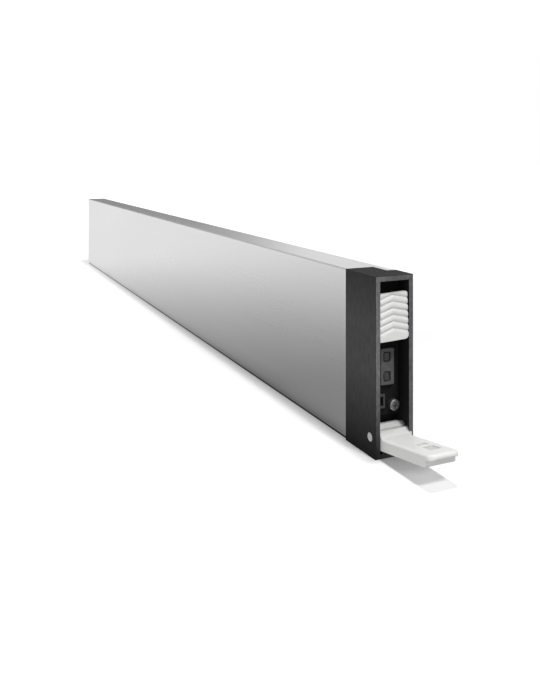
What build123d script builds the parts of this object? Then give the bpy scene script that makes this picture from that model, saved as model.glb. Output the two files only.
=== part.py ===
"""Ruler-format solid-state drive module, standing on one long edge with its latch lever open.

+X runs along the module to the latch end, +Y from the plain cover to the screwed side, +Z up
its height. The origin is the middle of the long edge that it stands on, between rear wall and
bezel front. Millimetres.
"""

from build123d import *
import os
from math import cos, radians, sin, sqrt, tan

os.makedirs("parts", exist_ok=True)

# Case
case_length = 313.3
case_height = 38.4
case_thickness = 9.5
cover_thickness = 0.5
cover_top_step = 0.15
cover_bottom_step = 0.75
cover_corner = 0.3
cover_edge_bevel = 0.08
tray_floor = 1.2
tray_wall = 1.2
tray_edge_radius = 0.4
seam = 0.06
cut_margin = 1.0

# Bezel shell
bezel_length = 12.4
bezel_far_length = 6.6
lap_thickness = 2.3
bezel_wall = 1.1
cavity_depth = 4.1
web_thickness = 1.5
rim_radius = 0.15

# Pocket behind the lever's root, and the thick foot of the web above it
well_depth = 1.35
well_top = 7.6
foot_thickness = 2.8
foot_top = 11.9

# Latch lever, measured from its pin: along the plate, and across it
open_angle = 8.5
pin_setback = 2.4
pin_height = 4.1
side_clearance = 0.1
root_radius = 2.75
pad_thickness = 2.6
lip_thickness = 1.1
pad_reach = 17.8
lip_length = 1.8
step_low = 1.18
step_high = 2.03
step_foot_reach = 2.8
step_low_reach = 1.5
step_rise_reach = 0.2
step_high_reach = -0.85
crown_back_round = 0.3
crown_front_round = 0.4
step_inner_round = 0.25
step_round = 0.35
pad_end_round = 0.5
lip_end_round = 0.35
plate_edge_round = 0.6
tip_radius = 1.3
hub_radius = 2.4
hub_length = 0.85
hub_clearance = 0.1

# Shallow recess in the lever's plate, and thin windows for the light pipes, hollowed from below
window_offset = 0.4
recess_start = 10.2
recess_end = 16.3
recess_depth = 0.35
recess_width = 2.9
recess_corner = 0.6
bridge_width = 0.8
bridge_reach = 12.5
window_skin = 0.4
window_reach = (11.2, 15.0)
window_hole_length = 1.8
window_hole_width = 1.8
window_corner = 0.4

# Headed hinge pin: its head in the near wall, its shaft through the lever
pin_radius = 0.5
pin_clearance = 0.04
pin_head_radius = 1.0
seat_clearance = 0.02
pin_end_step = 0.04
pin_bevel = 0.12

# Torsion spring round the pin, in a pocket of the lever's near side
spring_wire_radius = 0.12
spring_coil_radius = 0.68
spring_turns = 4
spring_pitch = 0.28
spring_setback = 0.2
spring_pocket_radius = 0.9
spring_pocket_depth = 1.55
spring_end_gap = 0.05
spring_leg_reach = 3.2
leg_hole_slack = 0.08
leg_slot_depth = 0.45
leg_slot_front = -0.42
leg_slot_low = -0.9

# Release slider, a little askew in its rails
slider_top_setback = 3.65
slider_height = 10.2
slider_askew = 2.3
slider_side_gap = 0.2
slider_thickness = 0.9
slider_near_gap = 0.07
slider_near_corner = 0.25
slider_low_corner = 0.9
slider_top_corner = 0.45
slider_edge_round = 0.12
slider_rail_setback = 2.2
slider_rail_depth = 0.8
slider_rail_reach = 0.25
slider_slot_reach = 0.5
slider_rib_width = 0.8
slider_rib_inset = 1.2
slider_travel = 1.6
slider_clearance = 0.1
groove_count = 6
groove_pitch = 1.42
groove_depth = 0.45
groove_rise = 0.95
groove_apex_y = -0.2
first_groove_drop = 0.4

# Light pipes and their holder
light_offset = 0.32
light_low = 16.05
light_high = 20.3
pipe_width = 1.3
pipe_height = 1.7
pipe_corner = 0.35
pipe_gap = 0.06
pipe_groove = 0.27
pipe_groove_depth = 0.6
pipe_setback = 0.1
pipe_reach = 6.7
pipe_end_round = 0.1
holder_offset = 0.45
holder_width = 3.4
holder_low = 14.2
holder_high = 22.1
holder_flange = 0.7
holder_corner = 0.35
holder_edge_round = 0.12
holder_body_width = 2.6
holder_body_inset = 0.45
holder_length = 4.4

# Small service socket in the web, under the holder
socket_width = 3.0
socket_tall = 3.0
socket_rim = 0.45
socket_proud = 0.6
socket_pocket = 0.9
socket_inset = 0.2
socket_body = 1.3
socket_edge_round = 0.1
socket_centre_y = -1.6
socket_centre_z = 10.75

# Screws
bezel_screw_y = 2.15
bezel_screw_z = 9.7
bezel_screw_head_radius = 1.23
bezel_screw_head = 1.1
bezel_screw_head_round = 0.3
bezel_screw_length = 8.5
bezel_screw_recess = (1.3, 0.38, 0.55)
screw_radius = 0.8
screw_slack = 0.02
hole_slack = 0.1
boss_radius = 1.4
spigot_z = 29.0
spigot_radius = 0.8
spigot_length = 1.2
spigot_slack = 0.05
case_screw_columns = 4
case_screw_end = 9.0
case_screw_edge = 3.8
case_screw_end_gap = 0.6
case_screw_head_radius = 1.5
case_screw_head_slack = 0.05
case_screw_recess = (1.5, 0.36, 0.5)
countersink_angle = 82
post_radius = 2.1
standoff_radius = 1.7

# Circuit board and its card edge
board_thickness = 1.57
board_near_gap = 3.1
board_slack = 0.3
board_front_setback = 10.5
tongue_length = 5.45
tongue_width = 21.0
tongue_bevel = 0.6
tongue_slack = 0.2
board_edge_bevel = 0.3
key_width = 1.1
key_depth = 4.6
contact_count = 28
contacts_before_key = 12
contact_pitch = 0.6
contact_width = 0.36
contact_length = 4.0
contact_thickness = 0.05
contact_end_gap = 0.7

# Packages on the board
flash_length = 18.0
flash_width = 13.4
flash_height = 1.3
flash_gap_x = 2.0
flash_gap_z = 0.8
flash_columns_per_bay = 4
controller_size = 25.0
controller_base = 0.8
controller_lid_inset = 1.5
controller_lid_corner = 1.0
controller_pad_inset = 0.5
controller_height = 1.9
memory_length = 7.5
memory_width = 12.0
memory_height = 1.0
memory_pitch = 9.0
memory_gap_z = 1.5
memory_count = 4
power_size = 6.0
power_height = 0.9
inductor_size = 5.0
inductor_height = 2.0
inductor_corner = 0.8
inductor_gap_z = 1.5
capacitor_length = 7.3
capacitor_width = 4.3
capacitor_height = 2.0
capacitor_pitch_x = 9.0
capacitor_pitch_z = 5.4
led_length = 1.5
led_height = 0.8
led_width = 1.6
led_gap = 0.3

# Planes and edges of the module
front_x = case_length / 2
rear_x = -case_length / 2
near_y = -case_thickness / 2
far_y = case_thickness / 2
case_front_x = front_x - bezel_length
floor_y = far_y - tray_floor
tray_near_y = near_y + cover_thickness
lap_y = far_y - lap_thickness
board_near_y = tray_near_y + board_near_gap
board_far_y = board_near_y + board_thickness
web_front_x = front_x - cavity_depth
web_rear_x = web_front_x - web_thickness
well_rear_x = web_front_x - well_depth
foot_rear_x = web_front_x - foot_thickness
pin_x = front_x - pin_setback
opening_half = case_thickness / 2 - bezel_wall
lever_half = opening_half - side_clearance
slider_half = opening_half - slider_side_gap
slider_bottom = case_height - slider_top_setback - slider_height
slider_middle_z = slider_bottom + slider_height / 2
slider_rib_half = slider_height / 2 - slider_rib_inset
light_heights = (light_low, light_high)


def side_plane(y):
    """Sketch plane across the thickness at y: x to the front, y up, facing the plain side."""
    return Plane.XZ.offset(-y)


def end_plane(x):
    """Sketch plane across the length at x: x to the screwed side, y up, facing the front."""
    return Plane.YZ.offset(x)


def cross_recess(size, slot, depth):
    """Cuts a cross recess into the part at the active locations."""
    Box(size, slot, depth, align=(Align.CENTER, Align.CENTER, Align.MAX), mode=Mode.SUBTRACT)
    Box(slot, size, depth, align=(Align.CENTER, Align.CENTER, Align.MAX), mode=Mode.SUBTRACT)


# Places of the case screws: columns along the length, one row by each long edge
column_span = case_front_x - rear_x - 2 * case_screw_end
column_step = column_span / (case_screw_columns - 1)
column_x = [rear_x + case_screw_end + column_step * i for i in range(case_screw_columns)]
row_z = (case_screw_edge, case_height - case_screw_edge)
screw_points = [(x, z) for x in column_x for z in row_z]
screw_planes = [
    Plane(origin=(x, far_y, z), x_dir=(1, 0, 0), z_dir=(0, 1, 0)) for x, z in screw_points
]

# Tray: floor on the screwed side, both long walls and the rear wall, and the lap behind the bezel
with BuildPart() as case_tray:
    with BuildSketch(end_plane(rear_x)):
        with Locations(((tray_near_y + far_y) / 2, case_height / 2)):
            Rectangle(far_y - tray_near_y, case_height)
    extrude(amount=case_front_x - rear_x)
    fillet(case_tray.edges().filter_by(Axis.X).group_by(Axis.Y)[-1], tray_edge_radius)
    with BuildSketch(end_plane(rear_x + tray_wall)):
        with Locations(((tray_near_y + floor_y) / 2, case_height / 2)):
            Rectangle(floor_y - tray_near_y, case_height - 2 * tray_wall)
    extrude(amount=case_front_x - rear_x, mode=Mode.SUBTRACT)
    with BuildSketch(end_plane(case_front_x - tray_wall)) as lap:
        with Locations(((lap_y + far_y) / 2, case_height / 2)):
            Rectangle(lap_thickness, case_height)
        fillet(lap.vertices().group_by(Axis.X)[-1], tray_edge_radius)
    extrude(amount=bezel_length - bezel_far_length + tray_wall - seam)
    with BuildSketch(end_plane(case_front_x - 2 * tray_wall)):
        with Locations((bezel_screw_y, bezel_screw_z), (bezel_screw_y, spigot_z)):
            Circle(boss_radius)
    extrude(amount=foot_rear_x - case_front_x + 2 * tray_wall - seam)
    with BuildSketch(end_plane(foot_rear_x - seam)):
        with Locations((bezel_screw_y, spigot_z)):
            Circle(boss_radius)
    extrude(amount=web_rear_x - foot_rear_x)
    with BuildSketch(end_plane(web_rear_x - seam)):
        with Locations((bezel_screw_y, spigot_z)):
            Circle(spigot_radius)
    extrude(amount=spigot_length)
    with BuildSketch(side_plane(floor_y)):
        with Locations(*screw_points):
            Circle(post_radius)
    extrude(amount=floor_y - board_far_y)
    with Locations(*screw_planes):
        CounterSinkHole(
            screw_radius + hole_slack,
            case_screw_head_radius + case_screw_head_slack,
            depth=far_y - board_far_y + cut_margin,
            counter_sink_angle=countersink_angle,
        )
    with BuildSketch(end_plane(front_x)):
        with Locations((bezel_screw_y, bezel_screw_z)):
            Circle(screw_radius + screw_slack)
    extrude(amount=-bezel_length - 2 * tray_wall, mode=Mode.SUBTRACT)
    with BuildSketch(end_plane(rear_x)):
        with Locations(((board_near_y + board_far_y) / 2, case_height / 2)):
            Rectangle(board_thickness + 2 * tongue_slack, tongue_width + 2 * tongue_slack)
    extrude(amount=tray_wall, mode=Mode.SUBTRACT)
case_tray.part.label = "case_tray"

# Cover: plain sheet, its long edges a little inside the tray's
with BuildPart() as side_cover:
    with BuildSketch(side_plane(tray_near_y)):
        with Locations(
            ((rear_x + case_front_x) / 2, (cover_bottom_step + case_height - cover_top_step) / 2)
        ):
            RectangleRounded(
                case_front_x - rear_x,
                case_height - cover_top_step - cover_bottom_step,
                cover_corner,
            )
    extrude(amount=cover_thickness)
    chamfer(side_cover.faces().sort_by(Axis.Y)[0].edges(), cover_edge_bevel)
side_cover.part.label = "side_cover"

# Threaded standoffs pressed in the cover: they clamp the board on the tray's posts
with BuildPart() as cover_standoffs:
    with BuildSketch(side_plane(board_near_y)):
        with Locations(*screw_points):
            Circle(standoff_radius)
            Circle(screw_radius + screw_slack, mode=Mode.SUBTRACT)
    extrude(amount=board_near_gap)
cover_standoffs.part.label = "cover_standoffs"

# Countersunk case screws, head flush with the tray
case_screw_length = far_y - tray_near_y - case_screw_end_gap
case_screw_cone = (case_screw_head_radius - screw_radius) / tan(radians(countersink_angle / 2))
with BuildPart() as case_screws:
    with BuildSketch(side_plane(far_y)):
        with Locations(*screw_points):
            Circle(screw_radius)
    extrude(amount=case_screw_length)
    for place in screw_planes:
        with BuildSketch(place):
            Circle(case_screw_head_radius)
        with BuildSketch(place.offset(-case_screw_cone)):
            Circle(screw_radius)
        loft()
        with Locations(place):
            cross_recess(*case_screw_recess)
case_screws.part.label = "case_screws"

# Bezel: open-fronted shell with a web behind its cavity, open at the back over the lap
with BuildPart() as front_bezel:
    with BuildSketch(end_plane(case_front_x + seam)):
        with Locations((0, case_height / 2)):
            Rectangle(case_thickness, case_height)
    extrude(amount=bezel_length - seam)
    fillet(front_bezel.faces().sort_by(Axis.X)[-1].edges(), rim_radius)
    with BuildSketch(end_plane(web_front_x)):
        with Locations((0, case_height / 2)):
            Rectangle(2 * opening_half, case_height - 2 * bezel_wall)
    extrude(amount=cavity_depth, mode=Mode.SUBTRACT)
    with BuildSketch(end_plane(well_rear_x)):
        with Locations((0, (bezel_wall + well_top) / 2)):
            Rectangle(2 * opening_half, well_top - bezel_wall)
    extrude(amount=well_depth, mode=Mode.SUBTRACT)
    with BuildSketch(side_plane(near_y + bezel_wall)):
        with BuildLine():
            Polyline(
                (case_front_x, bezel_wall),
                (foot_rear_x, bezel_wall),
                (foot_rear_x, foot_top),
                (web_rear_x, foot_top),
                (web_rear_x, case_height - bezel_wall),
                (case_front_x, case_height - bezel_wall),
                close=True,
            )
        make_face()
    extrude(amount=-2 * opening_half, mode=Mode.SUBTRACT)
    with BuildSketch(end_plane(case_front_x)):
        with Locations(((lap_y + far_y) / 2, case_height / 2)):
            Rectangle(lap_thickness + 2 * seam, case_height)
    extrude(amount=bezel_length - bezel_far_length, mode=Mode.SUBTRACT)
    with BuildSketch(end_plane(web_front_x)):
        with Locations((socket_centre_y, socket_centre_z)):
            Rectangle(
                socket_width - 2 * socket_inset + 2 * seam, socket_tall - 2 * socket_inset + 2 * seam
            )
    extrude(amount=-socket_body - seam, mode=Mode.SUBTRACT)
    with BuildSketch(end_plane(foot_rear_x)):
        with Locations((bezel_screw_y, bezel_screw_z)):
            Circle(screw_radius + hole_slack)
        with Locations((bezel_screw_y, spigot_z)):
            Circle(spigot_radius + spigot_slack)
        with Locations((holder_offset, (holder_low + holder_high) / 2)):
            Rectangle(
                holder_body_width + 2 * seam,
                holder_high - holder_low - 2 * holder_body_inset + 2 * seam,
            )
    extrude(amount=foot_thickness, mode=Mode.SUBTRACT)
    with BuildSketch(side_plane(far_y)):
        with Locations((pin_x, pin_height)):
            Circle(pin_radius + seat_clearance)
    extrude(amount=case_thickness, mode=Mode.SUBTRACT)
    with BuildSketch(side_plane(near_y + bezel_wall)):
        with Locations((pin_x, pin_height)):
            Circle(pin_head_radius + seat_clearance)
    extrude(amount=bezel_wall, mode=Mode.SUBTRACT)
    with BuildSketch(side_plane(opening_half)):
        with Locations((pin_x, pin_height)):
            Circle(hub_radius + hub_clearance)
    extrude(amount=-hub_length + side_clearance - hub_clearance / 2, mode=Mode.SUBTRACT)
    slot_slack = slider_clearance + (opening_half + slider_rail_reach) * sin(radians(slider_askew))
    slot_low = slider_middle_z - slider_rib_half - slot_slack - slider_travel
    slot_high = slider_middle_z + slider_rib_half + slot_slack
    with BuildSketch(side_plane(0)):
        with Locations(
            (
                front_x - slider_rail_setback - slider_rail_depth / 2,
                (slot_low + slot_high) / 2,
            )
        ):
            Rectangle(slider_rail_depth + 2 * slider_clearance, slot_high - slot_low)
    extrude(amount=opening_half + slider_slot_reach, both=True, mode=Mode.SUBTRACT)
front_bezel.part.label = "front_bezel"

# Pan-head screw through the web's foot into the tray's boss
screw_head_x = web_front_x + bezel_screw_head
with BuildPart() as bezel_screw:
    with BuildSketch(end_plane(web_front_x)):
        with Locations((bezel_screw_y, bezel_screw_z)):
            Circle(bezel_screw_head_radius)
    extrude(amount=bezel_screw_head)
    fillet(bezel_screw.edges().sort_by(Axis.X)[-1], bezel_screw_head_round)
    with BuildSketch(end_plane(web_front_x)):
        with Locations((bezel_screw_y, bezel_screw_z)):
            Circle(screw_radius)
    extrude(amount=-bezel_screw_length)
    with Locations(
        Plane(
            origin=(screw_head_x, bezel_screw_y, bezel_screw_z), x_dir=(0, 1, 0), z_dir=(1, 0, 0)
        )
    ):
        cross_recess(*bezel_screw_recess)
bezel_screw.part.label = "bezel_screw"

# Lever planes: its section seen from the plain side, its plate from above, and its end
along = (cos(radians(open_angle)), 0, sin(radians(open_angle)))
across = (-sin(radians(open_angle)), 0, cos(radians(open_angle)))
lever_section = Plane(origin=(pin_x, 0, pin_height), x_dir=along, z_dir=(0, -1, 0))
lever_plate = Plane(origin=(pin_x, 0, pin_height), x_dir=along, z_dir=across)
lip_reach = pad_reach + lip_length
heel = -sqrt(root_radius**2 - pad_thickness**2)
crown = -sqrt(root_radius**2 - step_high**2)

# Spring coil: it starts under the pin and ends along the plate, so its legs leave as tangents
coil_length = (spring_turns + open_angle / 360) * spring_pitch
coil_near_y = spring_setback - lever_half
coil_plane = Plane(origin=(pin_x, coil_near_y, pin_height), x_dir=(0, 0, -1), z_dir=(0, 1, 0))
coil = coil_plane * Helix(spring_pitch, coil_length, spring_coil_radius, lefthand=True)
fixed_leg_length = pin_x - well_rear_x - spring_end_gap

# Latch lever: stepped root round the pin, plate with a thinner lip, recess over two thin windows
with BuildPart() as latch_lever:
    with BuildSketch(lever_section) as profile:
        with BuildLine():
            Polyline(
                (heel, -pad_thickness),
                (pad_reach, -pad_thickness),
                (pad_reach, -lip_thickness),
                (lip_reach, -lip_thickness),
                (lip_reach, 0),
                (step_foot_reach, 0),
                (step_low_reach, step_low),
                (step_rise_reach, step_low),
                (step_high_reach, step_high),
                (crown, step_high),
            )
            ThreePointArc((crown, step_high), (-root_radius, 0), (heel, -pad_thickness))
        make_face()
        for corner, radius in (
            ((pad_reach, -pad_thickness), pad_end_round),
            ((lip_reach, -lip_thickness), lip_end_round),
            ((step_low_reach, step_low), step_round),
            ((step_rise_reach, step_low), step_inner_round),
            ((step_high_reach, step_high), crown_front_round),
            ((crown, step_high), crown_back_round),
        ):
            fillet(profile.vertices().sort_by_distance(corner)[0], radius)
    extrude(amount=lever_half, both=True)
    with BuildSketch(lever_plate.offset(-root_radius)) as plan:
        with Locations(((lip_reach - root_radius) / 2, 0)):
            Rectangle(lip_reach + root_radius, 2 * lever_half)
        fillet(plan.vertices().group_by(Axis.X)[-1], tip_radius)
    extrude(amount=2 * root_radius, mode=Mode.INTERSECT)
    plate_top = latch_lever.faces().sort_by_distance(lever_plate.from_local_coords((pad_reach / 2, 0, 0)))[0]
    fillet(plate_top.edges().sort_by(Axis((0, 0, 0), along))[1:], plate_edge_round)
    with BuildSketch(lever_plate):
        with Locations(((recess_start + recess_end) / 2, window_offset)):
            RectangleRounded(recess_end - recess_start, recess_width, recess_corner)
        with Locations((bridge_reach, window_offset)):
            Rectangle(bridge_width, recess_width, mode=Mode.SUBTRACT)
    extrude(amount=-recess_depth, mode=Mode.SUBTRACT)
    with BuildSketch(lever_plate.offset(-pad_thickness)):
        with Locations(*[(reach, window_offset) for reach in window_reach]):
            RectangleRounded(window_hole_length, window_hole_width, window_corner)
    extrude(amount=pad_thickness - recess_depth - window_skin, mode=Mode.SUBTRACT)
    with BuildSketch(lever_section.offset(-lever_half)):
        add(profile.sketch_local)
        Circle(hub_radius, mode=Mode.INTERSECT)
    extrude(amount=-hub_length)
    with BuildSketch(side_plane(far_y)):
        with Locations((pin_x, pin_height)):
            Circle(pin_radius + pin_clearance)
    extrude(amount=case_thickness, mode=Mode.SUBTRACT)
    with BuildSketch(side_plane(spring_pocket_depth - lever_half)):
        with Locations((pin_x, pin_height)):
            Circle(spring_pocket_radius)
    extrude(amount=spring_pocket_depth, mode=Mode.SUBTRACT)
    with BuildSketch(lever_section.offset(lever_half - leg_slot_depth)):
        with Locations((leg_slot_front - root_radius, leg_slot_low + root_radius)):
            Rectangle(2 * root_radius, 2 * root_radius)
    extrude(amount=leg_slot_depth, mode=Mode.SUBTRACT)
    with BuildSketch(Plane(origin=coil @ 1, z_dir=coil % 1)):
        Circle(spring_wire_radius + leg_hole_slack)
    extrude(amount=spring_leg_reach + leg_hole_slack, mode=Mode.SUBTRACT)
latch_lever.part.label = "latch_lever"

# Hinge pin, pressed in the bezel's walls, its head in the near one
with BuildPart() as hinge_pin:
    with BuildSketch(side_plane(far_y - pin_end_step)):
        with Locations((pin_x, pin_height)):
            Circle(pin_radius)
    extrude(amount=case_thickness - 2 * pin_end_step)
    with BuildSketch(side_plane(near_y + bezel_wall)):
        with Locations((pin_x, pin_height)):
            Circle(pin_head_radius)
    extrude(amount=bezel_wall - pin_end_step)
    rims = hinge_pin.edges().filter_by(GeomType.CIRCLE).sort_by(Axis.Y)
    chamfer((rims[0], rims[-1]), pin_bevel)
hinge_pin.part.label = "hinge_pin"

# Torsion spring: coil round the pin, fixed leg to the well's back wall, moving leg in the lever
with BuildPart() as lever_spring:
    with BuildSketch(Plane(origin=coil @ 0, z_dir=coil % 0)):
        Circle(spring_wire_radius)
    sweep(path=coil, is_frenet=True)
    with BuildSketch(Plane(origin=coil @ 0, z_dir=coil % 0)):
        Circle(spring_wire_radius)
    extrude(amount=-fixed_leg_length)
    with BuildSketch(Plane(origin=coil @ 1, z_dir=coil % 1)):
        Circle(spring_wire_radius)
    extrude(amount=spring_leg_reach)
lever_spring.part.label = "lever_spring"

# Release slider: pad with chevron finger grooves, side ribs and rails that run in the walls. Its
# near edge stands upright beside the wall although the pad is askew
slider_back_x = front_x - slider_thickness
rail_back_x = front_x - slider_rail_setback - slider_rail_depth
groove_top_z = slider_bottom + slider_height - first_groove_drop
scallop_radius = (groove_pitch**2 / 4 + groove_depth**2) / (2 * groove_depth)
shoulder = scallop_radius - sqrt(scallop_radius**2 - groove_pitch**2 / 16)
groove_slope = groove_rise / slider_half
slider_near_top = opening_half - slider_near_gap - slider_height / 2 * sin(radians(slider_askew))
slider_near_low = opening_half - slider_near_gap + slider_height / 2 * sin(radians(slider_askew))
with BuildPart() as release_slider:
    with BuildSketch(end_plane(slider_back_x)) as pad:
        with Locations((0, slider_middle_z)):
            Polygon(
                (-slider_near_top, slider_height / 2),
                (-slider_near_low, -slider_height / 2),
                (slider_half, -slider_height / 2),
                (slider_half, slider_height / 2),
                align=None,
            )
        for corner, radius in (
            ((-slider_near_top, slider_bottom + slider_height), slider_near_corner),
            ((-slider_near_low, slider_bottom), slider_near_corner),
            ((slider_half, slider_bottom), slider_low_corner),
            ((slider_half, slider_bottom + slider_height), slider_top_corner),
        ):
            fillet(pad.vertices().sort_by_distance(corner)[0], radius)
    extrude(amount=slider_thickness)
    fillet(release_slider.faces().sort_by(Axis.X)[-1].edges(), slider_edge_round)
    for side in (1, -1):
        with BuildSketch(side_plane(groove_apex_y)):
            with BuildLine():
                bottoms = [groove_top_z - groove_pitch * i for i in range(groove_count)]
                crest = bottoms[0] + groove_pitch / 2
                last = bottoms[-1] - groove_pitch / 2
                ThreePointArc(
                    (front_x, crest),
                    (front_x - shoulder, crest - groove_pitch / 4),
                    (front_x - groove_depth, bottoms[0]),
                )
                for z in bottoms[:-1]:
                    ThreePointArc(
                        (front_x - groove_depth, z),
                        (front_x, z - groove_pitch / 2),
                        (front_x - groove_depth, z - groove_pitch),
                    )
                ThreePointArc(
                    (front_x - groove_depth, bottoms[-1]),
                    (front_x - shoulder, last + groove_pitch / 4),
                    (front_x, last),
                )
                Polyline(
                    (front_x, last),
                    (front_x + cut_margin, last),
                    (front_x + cut_margin, crest),
                    (front_x, crest),
                )
            make_face()
        extrude(amount=2 * slider_half, dir=(0, side, -groove_slope), mode=Mode.SUBTRACT)
    with BuildSketch(side_plane(0)):
        with Locations(((rail_back_x + slider_back_x) / 2, slider_middle_z)):
            Rectangle(slider_back_x - rail_back_x, 2 * slider_rib_half)
    extrude(amount=slider_half, both=True)
    with BuildSketch(side_plane(0)):
        with Locations((rail_back_x + slider_rail_depth / 2, slider_middle_z)):
            Rectangle(slider_rail_depth, 2 * slider_rib_half)
    extrude(amount=opening_half + slider_rail_reach, both=True)
    with BuildSketch(side_plane(0)):
        with Locations(((rail_back_x + slider_back_x) / 2, slider_middle_z)):
            Rectangle(slider_back_x - rail_back_x, slider_height)
    extrude(amount=slider_half - slider_rib_width, both=True, mode=Mode.SUBTRACT)
askew_axis = Axis((front_x, 0, slider_middle_z), (1, 0, 0))
askew_slider = release_slider.part.rotate(askew_axis, slider_askew)
askew_slider.label = "release_slider"

# Service socket: a frame on the web round an open pocket
with BuildPart() as service_socket:
    with BuildSketch(end_plane(web_front_x)):
        with Locations((socket_centre_y, socket_centre_z)):
            Rectangle(socket_width, socket_tall)
    extrude(amount=socket_proud)
    fillet(service_socket.faces().sort_by(Axis.X)[-1].edges(), socket_edge_round)
    with BuildSketch(end_plane(web_front_x)):
        with Locations((socket_centre_y, socket_centre_z)):
            Rectangle(socket_width - 2 * socket_inset, socket_tall - 2 * socket_inset)
    extrude(amount=-socket_body)
    with BuildSketch(end_plane(web_front_x + socket_proud)):
        with Locations((socket_centre_y, socket_centre_z)):
            Rectangle(socket_width - 2 * socket_rim, socket_tall - 2 * socket_rim)
    extrude(amount=-socket_proud - socket_pocket, mode=Mode.SUBTRACT)
service_socket.part.label = "service_socket"

# Light-pipe holder: flange on the web, body through it
with BuildPart() as light_pipe_holder:
    with BuildSketch(end_plane(web_front_x)):
        with Locations((holder_offset, (holder_low + holder_high) / 2)):
            RectangleRounded(holder_width, holder_high - holder_low, holder_corner)
    extrude(amount=holder_flange)
    fillet(light_pipe_holder.faces().sort_by(Axis.X)[-1].edges(), holder_edge_round)
    with BuildSketch(end_plane(web_front_x)):
        with Locations((holder_offset, (holder_low + holder_high) / 2)):
            Rectangle(holder_body_width, holder_high - holder_low - 2 * holder_body_inset)
    extrude(amount=-holder_length)
    with BuildSketch(end_plane(web_front_x + holder_flange)):
        with Locations(*[(light_offset, z) for z in light_heights]):
            RectangleRounded(pipe_width + 2 * pipe_gap, pipe_height + 2 * pipe_gap, pipe_corner)
    extrude(amount=-holder_flange - holder_length, mode=Mode.SUBTRACT)
    with BuildSketch(end_plane(web_front_x + holder_flange)):
        with Locations(*[(light_offset, z) for z in light_heights]):
            RectangleRounded(
                pipe_width + 2 * pipe_groove, pipe_height + 2 * pipe_groove, pipe_corner + pipe_groove / 2
            )
    extrude(amount=-pipe_groove_depth, mode=Mode.SUBTRACT)
light_pipe_holder.part.label = "light_pipe_holder"

# Clear light pipes, from the board's indicator lights to the holder's face
pipe_front_x = web_front_x + holder_flange - pipe_setback
light_pipes = {}
for name, z in (("lower_light_pipe", light_low), ("upper_light_pipe", light_high)):
    with BuildPart() as pipe:
        with BuildSketch(end_plane(pipe_front_x - pipe_reach)):
            with Locations((light_offset, z)):
                RectangleRounded(pipe_width, pipe_height, pipe_corner)
        extrude(amount=pipe_reach)
        fillet(pipe.faces().sort_by(Axis.X)[-1].edges(), pipe_end_round)
    pipe.part.label = name
    light_pipes[name] = pipe.part

# Circuit board with its card edge through the rear wall
board_rear_x = rear_x + tray_wall + board_slack
board_front_x = front_x - board_front_setback
board_low_z = tray_wall + board_slack
board_high_z = case_height - tray_wall - board_slack
tongue_end_x = rear_x - tongue_length
tongue_low_z = (case_height - tongue_width) / 2
key_z = tongue_low_z + contact_end_gap + contact_pitch * contacts_before_key + key_width / 2
with BuildPart() as circuit_board:
    with BuildSketch(side_plane(board_far_y)) as outline:
        with Locations(((board_rear_x + board_front_x) / 2, (board_low_z + board_high_z) / 2)):
            Rectangle(board_front_x - board_rear_x, board_high_z - board_low_z)
        with Locations(((tongue_end_x + board_rear_x) / 2, case_height / 2)):
            Rectangle(board_rear_x - tongue_end_x, tongue_width)
        chamfer(outline.vertices().group_by(Axis.X)[0], tongue_bevel)
        with Locations((tongue_end_x + key_depth / 2, key_z)):
            Rectangle(key_depth, key_width, mode=Mode.SUBTRACT)
        with Locations(*screw_points):
            Circle(screw_radius + hole_slack, mode=Mode.SUBTRACT)
    extrude(amount=board_thickness)
    tongue_end = circuit_board.faces().filter_by(Axis.X).sort_by(Axis.X)[0]
    chamfer(tongue_end.edges().filter_by(Axis.Z), board_edge_bevel)
circuit_board.part.label = "circuit_board"

# Gold contacts on both faces of the card edge
contact_z = []
for i in range(contact_count):
    past_key = key_width if i >= contacts_before_key else 0
    contact_z.append(tongue_low_z + contact_end_gap + contact_pitch * (i + 0.5) + past_key)
contact_x = tongue_end_x + contact_end_gap + contact_length / 2
with BuildPart() as edge_contacts:
    for y, direction in ((board_near_y, 1), (board_far_y, -1)):
        with BuildSketch(side_plane(y)):
            with Locations(*[(contact_x, z) for z in contact_z]):
                Rectangle(contact_length, contact_width)
        extrude(amount=direction * contact_thickness)
edge_contacts.part.label = "edge_contacts"

# Bays between the screw columns, and the flash packages that fill them
bay_centres = [(a + b) / 2 for a, b in zip(column_x, column_x[1:])]
flash_pitch_x = flash_length + flash_gap_x
flash_pitch_z = flash_width + flash_gap_z
middle_z = case_height / 2


def flash_places(centre_x, columns):
    """Centres of a block of flash packages in two rows, about centre_x."""
    first = centre_x - flash_pitch_x * (columns - 1) / 2
    return [
        (first + flash_pitch_x * i, middle_z + side * flash_pitch_z / 2)
        for i in range(columns)
        for side in (-1, 1)
    ]


front_block_columns = flash_columns_per_bay // 2
front_block_x = bay_centres[-1] - flash_pitch_x * front_block_columns / 2
near_places = flash_places(bay_centres[1], flash_columns_per_bay)
near_places += flash_places(front_block_x, front_block_columns)
far_places = []
for centre in bay_centres:
    far_places += flash_places(centre, flash_columns_per_bay)

with BuildPart() as flash_near:
    with BuildSketch(side_plane(board_near_y)):
        with Locations(*near_places):
            Rectangle(flash_length, flash_width)
    extrude(amount=flash_height)
flash_near.part.label = "flash_near"

with BuildPart() as flash_far:
    with BuildSketch(side_plane(board_far_y)):
        with Locations(*far_places):
            Rectangle(flash_length, flash_width)
    extrude(amount=-flash_height)
flash_far.part.label = "flash_far"

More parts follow.
